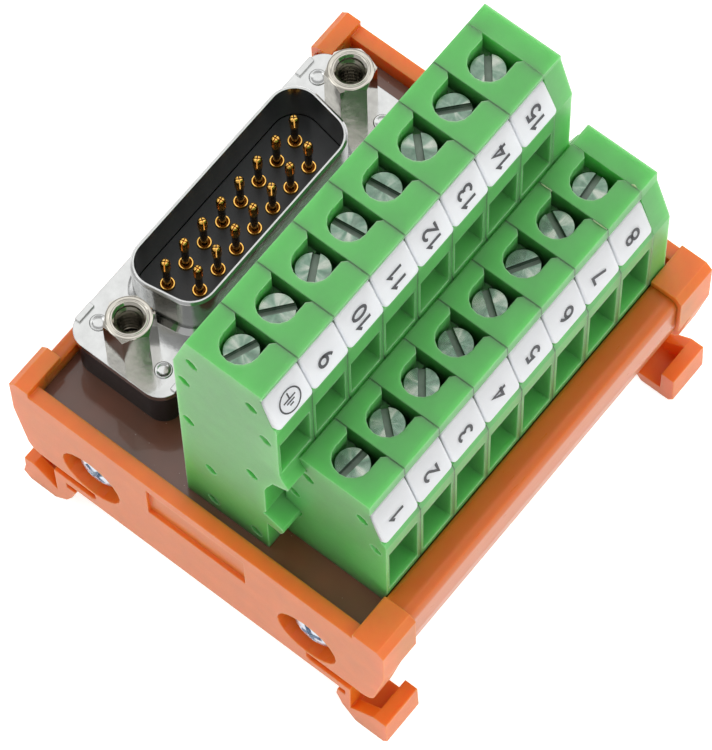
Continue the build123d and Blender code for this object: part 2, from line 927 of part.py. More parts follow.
# Screwlocks: hexagonal nuts with a stud below and a threaded bore above
for name, (lx, ly), turn in (("screwlock_near", locks[0], 25.0), ("screwlock_far", locks[1], 16.0)):
    with BuildPart() as lock:
        with BuildSketch(Plane.XY.offset(at(flange_top))):
            with Locations(Location((lx, ly, 0), (0, 0, turn))):
                RegularPolygon(lock_af / 2, 6, major_radius=False)
        extrude(amount=lock_high)
        # Bevelled corners of the hexagon
        corner_r = lock_af / math.sqrt(3)
        with BuildSketch(Plane(origin=(lx, ly, at(flange_top)), x_dir=(1, 0, 0), z_dir=(0, -1, 0))):
            with BuildLine():
                Polyline(
                    (0, 0),
                    (corner_r, 0),
                    (corner_r, lock_high - lock_bevel),
                    (corner_r - lock_bevel, lock_high),
                    (0, lock_high),
                    close=True,
                )
            make_face()
        revolve(axis=Axis((lx, ly, 0), (0, 0, 1)), mode=Mode.INTERSECT)
        with BuildSketch(Plane.XY.offset(at(flange_top - lock_stud_long + lock_floor_gap))):
            with Locations((lx, ly)):
                RegularPolygon(lock_stud_r, stud_sides, major_radius=False)
        extrude(amount=lock_stud_long - lock_floor_gap)
        with BuildSketch(Plane.XY.offset(at(flange_top + lock_high))):
            with Locations((lx, ly)):
                Circle(lock_bore_r)
        extrude(amount=-lock_bore_deep, mode=Mode.SUBTRACT)
        top_circles = lock.edges().filter_by(GeomType.CIRCLE).group_by(Axis.Z)[-1]
        chamfer([e for e in top_circles if abs(e.radius - lock_bore_r) < 0.01], length=lock_lead)
    save([lock.part], name)
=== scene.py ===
import math
import random

import bmesh
import bpy
from mathutils import Matrix, Vector


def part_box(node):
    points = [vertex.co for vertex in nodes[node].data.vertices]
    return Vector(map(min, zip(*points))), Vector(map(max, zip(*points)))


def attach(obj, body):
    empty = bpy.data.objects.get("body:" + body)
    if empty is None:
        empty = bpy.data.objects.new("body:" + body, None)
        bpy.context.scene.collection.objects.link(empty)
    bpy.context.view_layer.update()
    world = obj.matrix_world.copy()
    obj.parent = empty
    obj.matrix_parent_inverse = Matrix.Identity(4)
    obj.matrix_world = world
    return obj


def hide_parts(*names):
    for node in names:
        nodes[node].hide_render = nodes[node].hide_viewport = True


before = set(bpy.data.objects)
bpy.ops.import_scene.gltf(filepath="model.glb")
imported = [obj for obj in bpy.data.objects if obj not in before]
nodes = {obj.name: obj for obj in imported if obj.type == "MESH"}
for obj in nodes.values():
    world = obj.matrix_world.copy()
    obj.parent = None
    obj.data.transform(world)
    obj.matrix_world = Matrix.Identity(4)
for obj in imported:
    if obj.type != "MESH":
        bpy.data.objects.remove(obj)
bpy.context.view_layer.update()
random.seed(7)
MM = 0.001


def box_mm(node):
    """Lowest and highest corner of a node, in millimetres."""
    low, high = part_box(node)
    return Vector(low) / MM, Vector(high) / MM


def middle_mm(node):
    low, high = box_mm(node)
    return (low + high) / 2


# Sizes that the frame doesn't give, in millimetres
PITCH = 5.08
POLES = 8
SEGMENT_GAP = 0.04
CONTACT_PITCH = 2.77
CONTACT_ROWS = 2.84
PLUG_FLOOR = 7.1
FLANGE_TOP = 6.57
BORE_R = 1.42
BORE_DEEP = 5.2
BOARD = box_mm("circuit_board")[1].z
UPPER_X0 = box_mm("upper_housings")[0].x - SEGMENT_GAP / 2
LOWER_X0 = box_mm("lower_housings")[0].x - SEGMENT_GAP / 2
PLUG = middle_mm("dsub_shell")

# Painted shade along the joints between the poles of a row: half width and fade in millimetres, weight of
# the shade in the mix, and the share of the plastic's colour that it leaves
JOINT_HALF = 0.05
JOINT_FADE = 0.06
JOINT_SHADOW_WEIGHT = 0.8
JOINT_SHADOW_TONE = 0.28
# Cosines of the angle between rounded and flat normal, from a full painted edge highlight to none
EDGE_COSINES = (0.8, 0.99)
BEVEL_SAMPLES = 6
# Subsurface scattering of the plastics, its scale in millimetres
GLOW_WEIGHT = 0.9
GLOW_SCALE = 1.8


# Materials
class Nodes:
    """Short ways to build one material's nodes."""

    def __init__(self, name):
        self.mat = bpy.data.materials.new(name)
        self.mat.use_nodes = True
        self.tree = self.mat.node_tree
        self.bsdf = self.tree.nodes["Principled BSDF"]
        self.coord = self.tree.nodes.new("ShaderNodeTexCoord")

    def add(self, kind, **values):
        node = self.tree.nodes.new(kind)
        for key, value in values.items():
            setattr(node, key, value)
        return node

    def link(self, a, b):
        self.tree.links.new(a, b)

    def place(self, scale):
        """Object coordinates in millimetres, stretched by scale along X, Y and Z."""
        mapping = self.add("ShaderNodeMapping")
        mapping.inputs["Scale"].default_value = [s / MM for s in scale]
        self.link(self.coord.outputs["Object"], mapping.inputs["Vector"])
        return mapping.outputs["Vector"]

    def noise(self, scale=(1, 1, 1), detail=4.0, rough=0.55):
        tex = self.add("ShaderNodeTexNoise")
        tex.inputs["Scale"].default_value = 1.0
        tex.inputs["Detail"].default_value = detail
        tex.inputs["Roughness"].default_value = rough
        self.link(self.place(scale), tex.inputs["Vector"])
        return tex.outputs["Fac"]

    def ramp(self, fac, stops):
        node = self.add("ShaderNodeValToRGB")
        ramp = node.color_ramp
        while len(ramp.elements) < len(stops):
            ramp.elements.new(0.5)
        for element, (place, color) in zip(ramp.elements, stops):
            element.position = place
            element.color = (*color, 1.0)
        self.link(fac, node.inputs["Fac"])
        return node.outputs["Color"]

    def span(self, fac, low, high, start=0.0, end=1.0):
        node = self.add("ShaderNodeMapRange")
        node.inputs["From Min"].default_value = start
        node.inputs["From Max"].default_value = end
        node.inputs["To Min"].default_value = low
        node.inputs["To Max"].default_value = high
        self.link(fac, node.inputs["Value"])
        return node.outputs["Result"]

    def mix(self, fac, a, b, blend="MIX"):
        node = self.add("ShaderNodeMix", data_type="RGBA", blend_type=blend)
        for value, socket in ((fac, "Factor"), (a, "A"), (b, "B")):
            if isinstance(value, bpy.types.NodeSocket):
                self.link(value, node.inputs[socket])
            else:
                node.inputs[socket].default_value = value if socket == "Factor" else (*value, 1.0)
        return node.outputs["Result"]

    def bump(self, fac, strength, distance, normal=None):
        node = self.add("ShaderNodeBump")
        node.inputs["Strength"].default_value = strength
        node.inputs["Distance"].default_value = distance * MM
        self.link(fac, node.inputs["Height"])
        if normal is not None:
            self.link(normal, node.inputs["Normal"])
        return node.outputs["Normal"]

    def rounded(self, radius):
        node = self.add("ShaderNodeBevel", samples=BEVEL_SAMPLES)
        node.inputs["Radius"].default_value = radius * MM
        return node.outputs["Normal"]

    def edges(self, rounded):
        """Mask of the painted edge highlight: 1 on the rounded edges, 0 on the faces between them."""
        geometry = self.add("ShaderNodeNewGeometry")
        dot = self.add("ShaderNodeVectorMath", operation="DOT_PRODUCT")
        self.link(rounded, dot.inputs[0])
        self.link(geometry.outputs["True Normal"], dot.inputs[1])
        return self.span(dot.outputs["Value"], 1.0, 0.0, *EDGE_COSINES)

    def joint_shadow_share(self, x0):
        """Weight of the painted shade along the joints of a row of poles from x0, 0 at the row's two ends.
        """
        apart = self.add("ShaderNodeSeparateXYZ")
        self.link(self.place((1, 1, 1)), apart.inputs["Vector"])
        inside = self.add("ShaderNodeClamp")
        inside.inputs["Min"].default_value = x0 + PITCH / 2
        inside.inputs["Max"].default_value = x0 + (POLES - 0.5) * PITCH
        self.link(apart.outputs["X"], inside.inputs["Value"])
        shifted = self.add("ShaderNodeMath", operation="SUBTRACT")
        shifted.inputs[1].default_value = x0
        self.link(inside.outputs["Result"], shifted.inputs[0])
        away = self.add("ShaderNodeMath", operation="PINGPONG")
        away.inputs[1].default_value = PITCH / 2
        self.link(shifted.outputs["Value"], away.inputs[0])
        return self.span(away.outputs["Value"], JOINT_SHADOW_WEIGHT, 0.0, JOINT_HALF, JOINT_HALF + JOINT_FADE)


def rgb(*levels):
    """Linear colour of an sRGB colour given in 0-255."""
    shares = [level / 255 for level in levels]
    return tuple(s / 12.92 if s <= 0.04045 else ((s + 0.055) / 1.055) ** 2.4 for s in shares)


def scaled(color, k):
    return tuple(min(1.0, c * k) for c in color)


def plastic(name, color, rough, edge, grain, variation, flow=(1, 1, 1), wave=0.05, ior=1.55,
            glow=None, highlight_and_dust=None, highlight_share=0.5, joint_shadows_from=None):
    """Moulded plastic.

    In millimetres, edge is the radius of its edges, grain and wave are the heights of its fine and wide
    bumps, and glow is the reach of red, green and blue light under its skin. flow stretches its pattern
    along X, Y and Z. The pale edge colour paints a highlight on the edges. Where a row of poles begins, if
    given, its joints get painted shade.
    """
    n = Nodes(name)
    cloud = n.noise([0.35 * f for f in flow], 3.0)
    base = n.ramp(cloud, [(0.3, scaled(color, 1 - variation)), (0.7, scaled(color, 1 + variation))])
    normal = n.rounded(edge) if edge else None
    # Painted highlight: the rounded edges are mixed towards a paler colour
    if highlight_and_dust:
        share = n.add("ShaderNodeMath", operation="MULTIPLY")
        share.inputs[1].default_value = highlight_share
        n.link(n.edges(normal), share.inputs[0])
        base = n.mix(share.outputs["Value"], base, highlight_and_dust)
    # Painted shade along the joints between the poles
    if joint_shadows_from is not None:
        base = n.mix(n.joint_shadow_share(joint_shadows_from), base, scaled(color, JOINT_SHADOW_TONE))
    n.link(base, n.bsdf.inputs["Base Color"])
    fine = n.noise([7 * f for f in flow], 3.0, 0.6)
    n.link(n.span(fine, rough - 0.07, rough + 0.08), n.bsdf.inputs["Roughness"])
    normal = n.bump(n.noise([0.7 * f for f in flow], 2.0), 0.35, wave, normal)
    n.link(n.bump(fine, 0.5, grain, normal), n.bsdf.inputs["Normal"])
    n.bsdf.inputs["IOR"].default_value = ior
    if glow:
        n.bsdf.inputs["Subsurface Weight"].default_value = GLOW_WEIGHT
        n.bsdf.inputs["Subsurface Radius"].default_value = glow
        n.bsdf.inputs["Subsurface Scale"].default_value = GLOW_SCALE * MM
    return n.mat


def metal(name, color, rough, edge, brush=(1, 1, 1), scratch=0.004, variation=0.08, dents=0.02):
    """Bare metal.

    In millimetres, edge is the radius of its edges, and scratch and dents are the heights of its fine and
    wide bumps. brush stretches the fine ones along X, Y and Z.
    """
    n = Nodes(name)
    n.bsdf.inputs["Metallic"].default_value = 1.0
    cloud = n.noise((0.6, 0.6, 0.6), 4.0)
    n.link(n.ramp(cloud, [(0.3, scaled(color, 1 - variation)), (0.7, color)]), n.bsdf.inputs["Base Color"])
    lines = n.noise([9 * b for b in brush], 5.0, 0.65)
    n.link(n.span(lines, rough * 0.6, rough * 1.5), n.bsdf.inputs["Roughness"])
    normal = n.rounded(edge) if edge else None
    normal = n.bump(n.noise((0.8, 0.8, 0.8), 2.0), 0.5, dents, normal)
    n.link(n.bump(lines, 0.5, scratch, normal), n.bsdf.inputs["Normal"])
    return n.mat


def turned(name, color, light, rough, wide):
    """Turned metal, with rings about a piece's upright axis and painted highlights in streaks out from it.
    light is the colour of the painted highlights, wide is its width in mm.
    """
    n = Nodes(name)
    n.bsdf.inputs["Metallic"].default_value = 1.0
    n.bsdf.inputs["Anisotropic"].default_value = 0.75
    tangent = n.add("ShaderNodeTangent", direction_type="RADIAL", axis="Z")
    n.link(tangent.outputs["Tangent"], n.bsdf.inputs["Tangent"])
    centred = n.add("ShaderNodeMapping")
    centred.inputs["Location"].default_value = (-wide / 2, -wide / 2, 0)
    centred.inputs["Scale"].default_value = (wide, wide, 0)
    n.link(n.coord.outputs["Generated"], centred.inputs["Vector"])
    rings = n.add("ShaderNodeTexWave", wave_type="RINGS", rings_direction="SPHERICAL")
    rings.inputs["Scale"].default_value = 2.2
    rings.inputs["Distortion"].default_value = 1.5
    rings.inputs["Detail"].default_value = 3.0
    n.link(centred.outputs["Vector"], rings.inputs["Vector"])
    # Painted highlight and shade in streaks that run out from the middle, different on each screw
    outward = n.add("ShaderNodeVectorMath", operation="NORMALIZE")
    n.link(centred.outputs["Vector"], outward.inputs[0])
    streak_place = n.add("ShaderNodeVectorMath", operation="ADD")
    n.link(outward.outputs["Vector"], streak_place.inputs[0])
    n.link(n.place((0.3, 0.3, 0.3)), streak_place.inputs[1])
    streaks = n.add("ShaderNodeTexNoise")
    streaks.inputs["Scale"].default_value = 0.8
    streaks.inputs["Detail"].default_value = 2.0
    n.link(streak_place.outputs["Vector"], streaks.inputs["Vector"])
    streak_highlight = n.ramp(streaks.outputs["Fac"], [(0.36, scaled(color, 0.66)), (0.5, color), (0.66, light)])
    # Random stains mixed with painted patches of highlight towards the light colour
    stain_and_sheen = n.noise((1.4, 1.4, 1.4), 4.0, 0.65)
    stain_and_sheen_tone = n.ramp(stain_and_sheen, [(0.35, scaled(color, 0.6)), (0.68, light)])
    n.link(n.mix(0.2, streak_highlight, stain_and_sheen_tone), n.bsdf.inputs["Base Color"])
    n.link(n.span(stain_and_sheen, rough + 0.1, rough - 0.08), n.bsdf.inputs["Roughness"])
    normal = n.bump(rings.outputs["Fac"], 0.35, 0.006, n.rounded(0.05))
    n.link(n.bump(n.noise((9, 9, 9), 4.0), 0.4, 0.004, normal), n.bsdf.inputs["Normal"])
    return n.mat


def board_material():
    """Brown laminate with specks of dust under a clear coat."""
    n = Nodes("board_laminate")
    cloud = n.noise((0.12, 0.12, 0.12), 3.0)
    base = n.ramp(cloud, [(0.25, rgb(116, 62, 40)), (0.6, rgb(92, 54, 34)), (0.8, rgb(60, 60, 34))])
    specks = n.add("ShaderNodeTexVoronoi")
    specks.inputs["Scale"].default_value = 1.0
    n.link(n.place((1.1, 1.1, 1.1)), specks.inputs["Vector"])
    # Pale colour of the dust specks
    highlight_and_dust = (0.7, 0.66, 0.6)
    none = (0, 0, 0)
    dust = n.ramp(specks.outputs["Distance"], [(0.0, highlight_and_dust), (0.04, highlight_and_dust), (0.055, none), (1.0, none)])
    n.link(n.mix(0.3, base, dust, "ADD"), n.bsdf.inputs["Base Color"])
    weave = n.noise((5, 5, 5), 2.0)
    n.link(n.span(weave, 0.3, 0.45), n.bsdf.inputs["Roughness"])
    n.link(n.bump(weave, 0.4, 0.004), n.bsdf.inputs["Normal"])
    n.bsdf.inputs["Coat Weight"].default_value = 0.6
    n.bsdf.inputs["Coat Roughness"].default_value = 0.06
    n.link(n.bump(n.noise((0.35, 0.35, 0.35), 2.0), 0.4, 0.06), n.bsdf.inputs["Coat Normal"])
    return n.mat


ORANGE_GLOW = (1.6, 0.45, 0.2)
# The paler edge colours of the mouldings, the extrusion and the green housings are painted highlights
orange = plastic("orange_moulding", rgb(224, 115, 24), rough=0.42, edge=0.22, grain=0.004, variation=0.05,
                 glow=ORANGE_GLOW, highlight_and_dust=rgb(238, 150, 90), highlight_share=0.25)
extruded = plastic("orange_extrusion", rgb(200, 104, 28), rough=0.3, edge=0.7, grain=0.002, variation=0.04,
                   flow=(0.06, 0.5, 0.5), wave=0.008, ior=1.44,
                   glow=ORANGE_GLOW, highlight_and_dust=rgb(240, 124, 40), highlight_share=0.4)
# Each row's housings get painted shade along their joints
greens = {row: plastic(f"green_{row}", rgb(86, 172, 86), rough=0.4, edge=0.18, grain=0.004, variation=0.06,
                       glow=(1.5, 2.8, 1.4), highlight_and_dust=rgb(150, 206, 146), joint_shadows_from=x0)
          for row, x0 in (("upper", UPPER_X0), ("lower", LOWER_X0))}
white = plastic("tag_moulding", rgb(236, 240, 247), rough=0.36, edge=0.1, grain=0.002, variation=0.012,
                glow=(1.0, 1.0, 1.0))
black = plastic("black_moulding", rgb(26, 28, 31), rough=0.36, edge=0.1, grain=0.006, variation=0.15,
                ior=1.45)
ink = plastic("tag_ink", rgb(30, 32, 40), rough=0.35, edge=0.0, grain=0.001, variation=0.1)
flash_green = plastic("thin_flash", rgb(168, 208, 130), rough=0.5, edge=0.0, grain=0.004, variation=0.12,
                      glow=(0.8, 1.0, 0.5))
shell_tin = metal("tinned_shell", rgb(192, 193, 192), rough=0.14, edge=0.1,
                  scratch=0.003, variation=0.16, dents=0.03)
nickel = metal("nickel_nut", rgb(186, 182, 172), rough=0.09, edge=0.04, brush=(0.4, 0.4, 3),
               scratch=0.002, variation=0.14)
# Darker copy of the nut's nickel, as painted shade in the bores
bore_shade_nickel = metal("bore_shade_nickel", rgb(158, 154, 142), rough=0.2, edge=0.0, brush=(1, 1, 4),
                    scratch=0.003, variation=0.2, dents=0.01)
zinc = metal("zinc_screw", rgb(196, 208, 222), rough=0.26, edge=0.05,
             scratch=0.006, variation=0.14, dents=0.04)
# The clamp screws' dim green-grey is painted shade and a painted reflection of the green housings round
# them; their slot floors are darker still, as painted shade
clamp_head = turned("clamp_screw", rgb(106, 132, 116), rgb(166, 172, 162), rough=0.2, wide=3.6)
slot_floor_shade = metal("slot_floor", rgb(112, 124, 114), rough=0.4, edge=0.0, brush=(3, 3, 3),
                   scratch=0.01, variation=0.3)
clamp = metal("clamp_cage", rgb(190, 194, 186), rough=0.3, edge=0.05, brush=(3, 0.5, 1),
              scratch=0.006, variation=0.14)
gold = metal("gold_contact", rgb(240, 188, 96), rough=0.16, edge=0.0,
             scratch=0.006, variation=0.25, dents=0.03)
# Darkened gold for the contacts' waists, a painted dark reflection of the black insulator
gold_dark_reflection = metal("contact_dark_reflection", rgb(104, 78, 44), rough=0.2, edge=0.0,
                  scratch=0.006, variation=0.3, dents=0.03)
tinned = metal("tinned_bar", rgb(205, 200, 190), rough=0.3, edge=0.04)
laminate = board_material()

looks = {
    "carrier_profile": extruded,
    "end_plate_near": orange,
    "end_plate_far": orange,
    "end_plate_screws": zinc,
    "circuit_board": laminate,
    "dsub_shell": shell_tin,
    "dsub_insulator": black,
    "dsub_pins": gold,
    "screwlock_near": nickel,
    "screwlock_far": nickel,
}
for row, look in greens.items():
    looks[f"{row}_housings"] = look
    looks[f"{row}_end_cover"] = look
    looks[f"{row}_tags"] = white
    looks[f"{row}_contacts"] = tinned
for name, obj in nodes.items():
    obj.data.materials.clear()
    obj.data.materials.append(looks.get(name, clamp))


# Mesh helpers. Points are in millimetres.
SMOOTH_BELOW = math.radians(38)
SAME_PLACE = 0.01


def finished(bm, name, scale=MM):
    bmesh.ops.recalc_face_normals(bm, faces=bm.faces[:])
    bmesh.ops.scale(bm, vec=(scale, scale, scale), verts=bm.verts[:])
    mesh = bpy.data.meshes.new(name)
    bm.to_mesh(mesh)
    bm.free()
    return mesh


def piece(name, mesh, look, body="module", smooth=False, stands_for=None):
    obj = bpy.data.objects.new(name, mesh)
    bpy.context.scene.collection.objects.link(obj)
    mesh.materials.clear()
    mesh.materials.append(look)
    for face in mesh.polygons:
        face.use_smooth = smooth
    if smooth:
        mesh.set_sharp_from_angle(angle=SMOOTH_BELOW)
    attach(obj, body)
    if stands_for:
        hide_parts(stands_for)
    return obj


def loft(bm, rings, hoop=False):
    """Closed skin through rings of equally many points, with two flat ends unless it's a hoop."""
    loops = [[bm.verts.new(point) for point in ring] for ring in rings]
    count = len(loops[0])
    following = loops[1:] + loops[:1] if hoop else loops[1:]
    for low, high in zip(loops, following):
        for k in range(count):
            bm.faces.new((low[k], low[(k + 1) % count], high[(k + 1) % count], high[k]))
    if not hoop:
        bm.faces.new(loops[0][::-1])
        bm.faces.new(loops[-1])


def arc(x, y, rx, ry, start, end, steps):
    """Points of an elliptic arc, angles in degrees."""
    angles = [math.radians(start + (end - start) * k / steps) for k in range(steps + 1)]
    return [(x + rx * math.cos(a), y + ry * math.sin(a)) for a in angles]


def lathe(bm, profile, centre, steps, turn=0.0, hoop=False):
    """Surface of revolution of (radius, height) points about a vertical axis."""
    rings = []
    for r, z in profile:
        points = arc(centre[0], centre[1], r, r, turn, turn + 360, steps)[:-1]
        rings.append([Vector((x, y, z)) for x, y in points])
    loft(bm, rings, hoop)


# Marker tags with rounded corners and edges
UPPER_TOP = box_mm("upper_housings")[1].z
LOWER_TOP = box_mm("lower_housings")[1].z
TAG_CORNER = 0.5
TAG_CORNER_LEAST = 0.08
TAG_GAP = 0.04
TAG_BACK_GAP = 0.01
# Rings of a tile from its back to its face, as (inset, depth under the face); the first reaches the seat
TAG_ROUND = ((0.0, 9.0), (0.0, 0.45), (0.02, 0.26), (0.08, 0.1), (0.18, 0.02), (0.3, 0.0), (0.45, 0.0))
CORNER_STEPS = 5
INK_LIFT = 0.012


class TagRow:
    """A row of sloping tags.

    low and high are the ends of a tag's face, seat_low and seat_high those of its seat, as (y, height from
    the top of the row).
    """

    def __init__(self, row, x0, top, low, high, seat_low, seat_high):
        self.row = row
        self.x0 = x0
        self.low, self.high, self.seat_low, self.seat_high = (
            Vector((0, y, top + z)) for y, z in (low, high, seat_low, seat_high))
        self.right = (self.high - self.low).normalized()
        self.up = Vector((-1, 0, 0))
        self.out = self.right.cross(self.up)

    def middle(self, i):
        point = (self.low + self.high) / 2
        point.x = self.x0 + (i + 0.5) * PITCH
        return point

    def depth(self, u):
        """Distance from the face to the seat at a height u above the middle of the face."""
        long = (self.high - self.low).length
        share = u / long + 0.5
        face = self.low.lerp(self.high, share)
        seat = self.seat_low.lerp(self.seat_high, share)
        return (face - seat).dot(self.out) - TAG_BACK_GAP

    def tile(self, bm, i):
        half_long = (self.high - self.low).length / 2
        half_wide = PITCH / 2 - TAG_GAP
        rings = []
        for inset, sink in TAG_ROUND:
            r = max(TAG_CORNER - inset, TAG_CORNER_LEAST)
            ring = []
            for k, (su, sv) in enumerate(((1, 1), (-1, 1), (-1, -1), (1, -1))):
                u0 = su * (half_long - inset - r)
                v0 = sv * (half_wide - inset - r)
                for u, v in arc(u0, v0, r, r, 90 * k, 90 * k + 90, CORNER_STEPS):
                    place = self.right * u + self.up * v - self.out * min(sink, self.depth(u))
                    ring.append(self.middle(i) + place)
            rings.append(ring)
        loft(bm, rings)

    def print_matrix(self, i):
        m = Matrix((self.right, self.up, self.out)).transposed().to_4x4()
        m.translation = self.middle(i) + self.out * INK_LIFT
        return m


tag_rows = (
    TagRow("upper", UPPER_X0, UPPER_TOP, low=(-9.12, -4.9), high=(-7.25, -0.6),
           seat_low=(-8.28, -5.2), seat_high=(-7.0, -0.6)),
    TagRow("lower", LOWER_X0, LOWER_TOP, low=(-18.98, -6.1), high=(-17.25, -1.55),
           seat_low=(-18.42, -6.4), seat_high=(-17.0, -1.55)),
)

# Strokes of the digits and of the earth sign, before scaling, with their middle at the origin
DIGITS = {
    "0": [arc(0, 0, 0.58, 1.03, 90, 450, 20)],
    "1": [[(-0.42, 0.55), (0.12, 1.0), (0.12, -1.1)]],
    "2": [arc(0, 0.46, 0.58, 0.58, 165, -32, 12) + [(-0.6, -1.0), (0.64, -1.0)]],
    "3": [arc(-0.04, 0.52, 0.52, 0.5, 150, -70, 10), arc(-0.04, -0.47, 0.6, 0.55, 80, -150, 12)],
    "4": [[(0.26, -1.1), (0.26, 0.98), (-0.62, -0.42), (0.68, -0.42)]],
    "5": [[(0.52, 1.0), (-0.38, 1.0), (-0.5, 0.12)] + arc(0.0, -0.36, 0.6, 0.64, 125, -145, 14)],
    "6": [arc(0, -0.42, 0.6, 0.62, 0, 360, 20), arc(0.62, -0.42, 1.22, 1.5, 180, 112, 8)],
    "7": [[(-0.6, 1.0), (0.6, 1.0), (-0.18, -1.1)]],
    "8": [arc(0, 0.54, 0.5, 0.48, 90, 450, 18), arc(0, -0.5, 0.62, 0.55, 90, 450, 20)],
    "9": [arc(0, 0.42, 0.6, 0.62, 0, 360, 20), arc(-0.62, 0.42, 1.22, 1.5, 0, -68, 8)],
}
EARTH = [arc(0, 0, 1.3, 1.3, 0, 360, 40), [(1.0, 0), (0.2, 0)], [(0.2, -0.8), (0.2, 0.8)],
         [(-0.15, -0.52), (-0.15, 0.52)], [(-0.5, -0.25), (-0.5, 0.25)]]
DIGIT_SIZE = 0.84
DIGIT_STEP = 1.34
MARK_DROP = 0.42
STROKE = 0.33
EARTH_STROKE = 0.17
INK_THICK = 0.008
BEND_LEAST = 0.5
FIRST_NUMBER = {"upper": 8, "lower": 1}


def stroke(bm, line, width, matrix):
    """Flat ribbon along a line of points on a tag's face."""
    points = [Vector((x - MARK_DROP, y, 0)) for x, y in line]
    rings = []
    for k, p in enumerate(points):
        before = (p - points[k - 1]).normalized() if k else None
        after = (points[k + 1] - p).normalized() if k + 1 < len(points) else None
        along = ((before or after) + (after or before)).normalized()
        side = Vector((-along.y, along.x, 0))
        bend = side.dot(Vector((-(after or before).y, (after or before).x, 0)))
        side *= width / 2 / max(bend, BEND_LEAST)
        lift = Vector((0, 0, INK_THICK))
        rings.append([matrix @ q for q in (p - side, p + side, p + side + lift, p - side + lift)])
    loft(bm, rings)


for tags in tag_rows:
    bm = bmesh.new()
    for i in range(POLES):
        tags.tile(bm, i)
    piece(f"{tags.row}_tag_tiles", finished(bm, "tiles"), white, smooth=True,
          stands_for=f"{tags.row}_tags")
    bm = bmesh.new()
    for i in range(POLES):
        m = tags.print_matrix(i)
        if tags.row == "upper" and i == 0:
            for line in EARTH:
                stroke(bm, line, EARTH_STROKE, m)
            continue
        text = str(i + FIRST_NUMBER[tags.row])
        for k, digit in enumerate(text):
            shift = (k - (len(text) - 1) / 2) * DIGIT_STEP
            for line in DIGITS[digit]:
                stroke(bm, [(x * DIGIT_SIZE + shift, y * DIGIT_SIZE) for x, y in line], STROKE, m)
    piece(f"{tags.row}_tag_marks", finished(bm, "marks"), ink)


# Clamp screws: round heads with a slot, on a threaded shank. The slots' directions are in degrees from X.
UPPER_SLOTS = (158.6, 141.3, 28.2, 96.7, 96.7, 46.0, 139.1, 39.1)
LOWER_SLOTS = (175.7, 48.3, 38.5, 60.0, 52.9, 149.8, 64.1, 5.6)
HEAD_THICK = 1.3
HEAD_BEVEL = 0.1
HEAD_CLEAR = 0.005
HEAD_STEPS = 40
HALF_HEAD_STEPS = 24
SLOT_HALF = 0.32
SLOT_DEEP = 0.65
SLOT_FLARE = 0.25
# Rings of each half of a head from the slot's floor up, as (inset, depth under the top)
HEAD_ROUND = ((0.0, SLOT_DEEP), (0.0, 0.2), (0.05, 0.08), (0.15, 0.0), (0.4, 0.0))
SHANK_R = 1.2
SHANK_TIP_R = 1.0
SHANK_ROOT_R = 0.98
CLAMP_PITCH = 0.45
CREST = 0.1
ROOT = 0.3


def slotted_screw(bm, centre, low, top, r, turn):
    """Screw from the heights low to top with a head of radius r, its slot turned by so many degrees."""
    seat = top - HEAD_THICK
    profile = [(SHANK_TIP_R, low)]
    z = low + CREST
    while z + CLAMP_PITCH < seat:
        profile += [(SHANK_R, z), (SHANK_R, z + CREST), (SHANK_ROOT_R, z + ROOT)]
        z += CLAMP_PITCH
    profile += [(SHANK_ROOT_R, seat), (r - HEAD_BEVEL, seat), (r, seat + HEAD_BEVEL), (r, top - SLOT_DEEP)]
    lathe(bm, profile, centre, HEAD_STEPS, turn)
    rotate = Matrix.Rotation(math.radians(turn), 3, "Z")
    middle = Vector((centre[0], centre[1], 0))
    for side in (0, 180):
        rings = []
        for inset, sink in HEAD_ROUND:
            radius = r - inset
            wall = SLOT_HALF + inset * SLOT_FLARE
            start = math.degrees(math.asin(wall / radius))
            points = arc(0, 0, radius, radius, side + start, side + 180 - start, HALF_HEAD_STEPS)
            height = Vector((0, 0, top - sink))
            rings.append([middle + rotate @ Vector((x, y, 0)) + height for x, y in points])
        loft(bm, rings)


for row, slots in (("upper", UPPER_SLOTS), ("lower", LOWER_SLOTS)):
    for i, turn in enumerate(slots):
        node = f"{row}_screw_{i + 1}"
        low, high = box_mm(node)
        centre = (low + high) / 2
        bm = bmesh.new()
        slotted_screw(bm, centre, low.z, high.z, (high.x - low.x) / 2 - HEAD_CLEAR, turn)
        screw = piece(f"{node}_turned", finished(bm, node), clamp_head, body=node,
                      smooth=True, stands_for=node)
        # The slot's floor gets the darker metal as painted shade
        screw.data.materials.append(slot_floor_shade)
        slot_floor = high.z - SLOT_DEEP
        for face in screw.data.polygons:
            if abs(face.center.z / MM - slot_floor) < SAME_PLACE:
                face.material_index = 1

# Plug contacts with a collar, a slim waist and a split tip, as (radius, height). A petal's heights are
# from the tip.
TIP = box_mm("dsub_pins")[1].z
TAIL = box_mm("dsub_pins")[0].z
FLOOR = BOARD + PLUG_FLOOR
PIN_TAIL = ((0.3, TAIL), (0.3, BOARD), (0.49, BOARD + 0.02), (0.49, FLOOR - 0.02))
PIN_COLLAR = ((0.4, FLOOR - 0.1), (0.74, FLOOR + 0.01), (0.76, FLOOR + 0.12), (0.7, FLOOR + 0.24),
              (0.6, FLOOR + 0.24), (0.5, FLOOR + 0.1), (0.4, FLOOR + 0.04))
PIN_WAIST = ((0.38, FLOOR - 0.02), (0.38, TIP - 2.2), (0.42, TIP - 1.9), (0.42, TIP - 1.6))
PIN_NECK = ((0.4, TIP - 1.7), (0.49, TIP - 1.6), (0.49, TIP - 1.25))
PIN_PETAL = ((0.49, -1.26), (0.5, -0.6), (0.47, -0.32), (0.4, -0.12), (0.28, -0.02), (0.2, 0.0))
PETALS = 4
PETAL_GAP = 0.055
PETAL_HUB = 1.5 * PETAL_GAP
PIN_STEPS = 24
WAIST_STEPS = 20
PETAL_STEPS = 6
# Side of the plug's middle on which a row lies, and its number of contacts
CONTACTS = ((1, 8), (-1, 7))

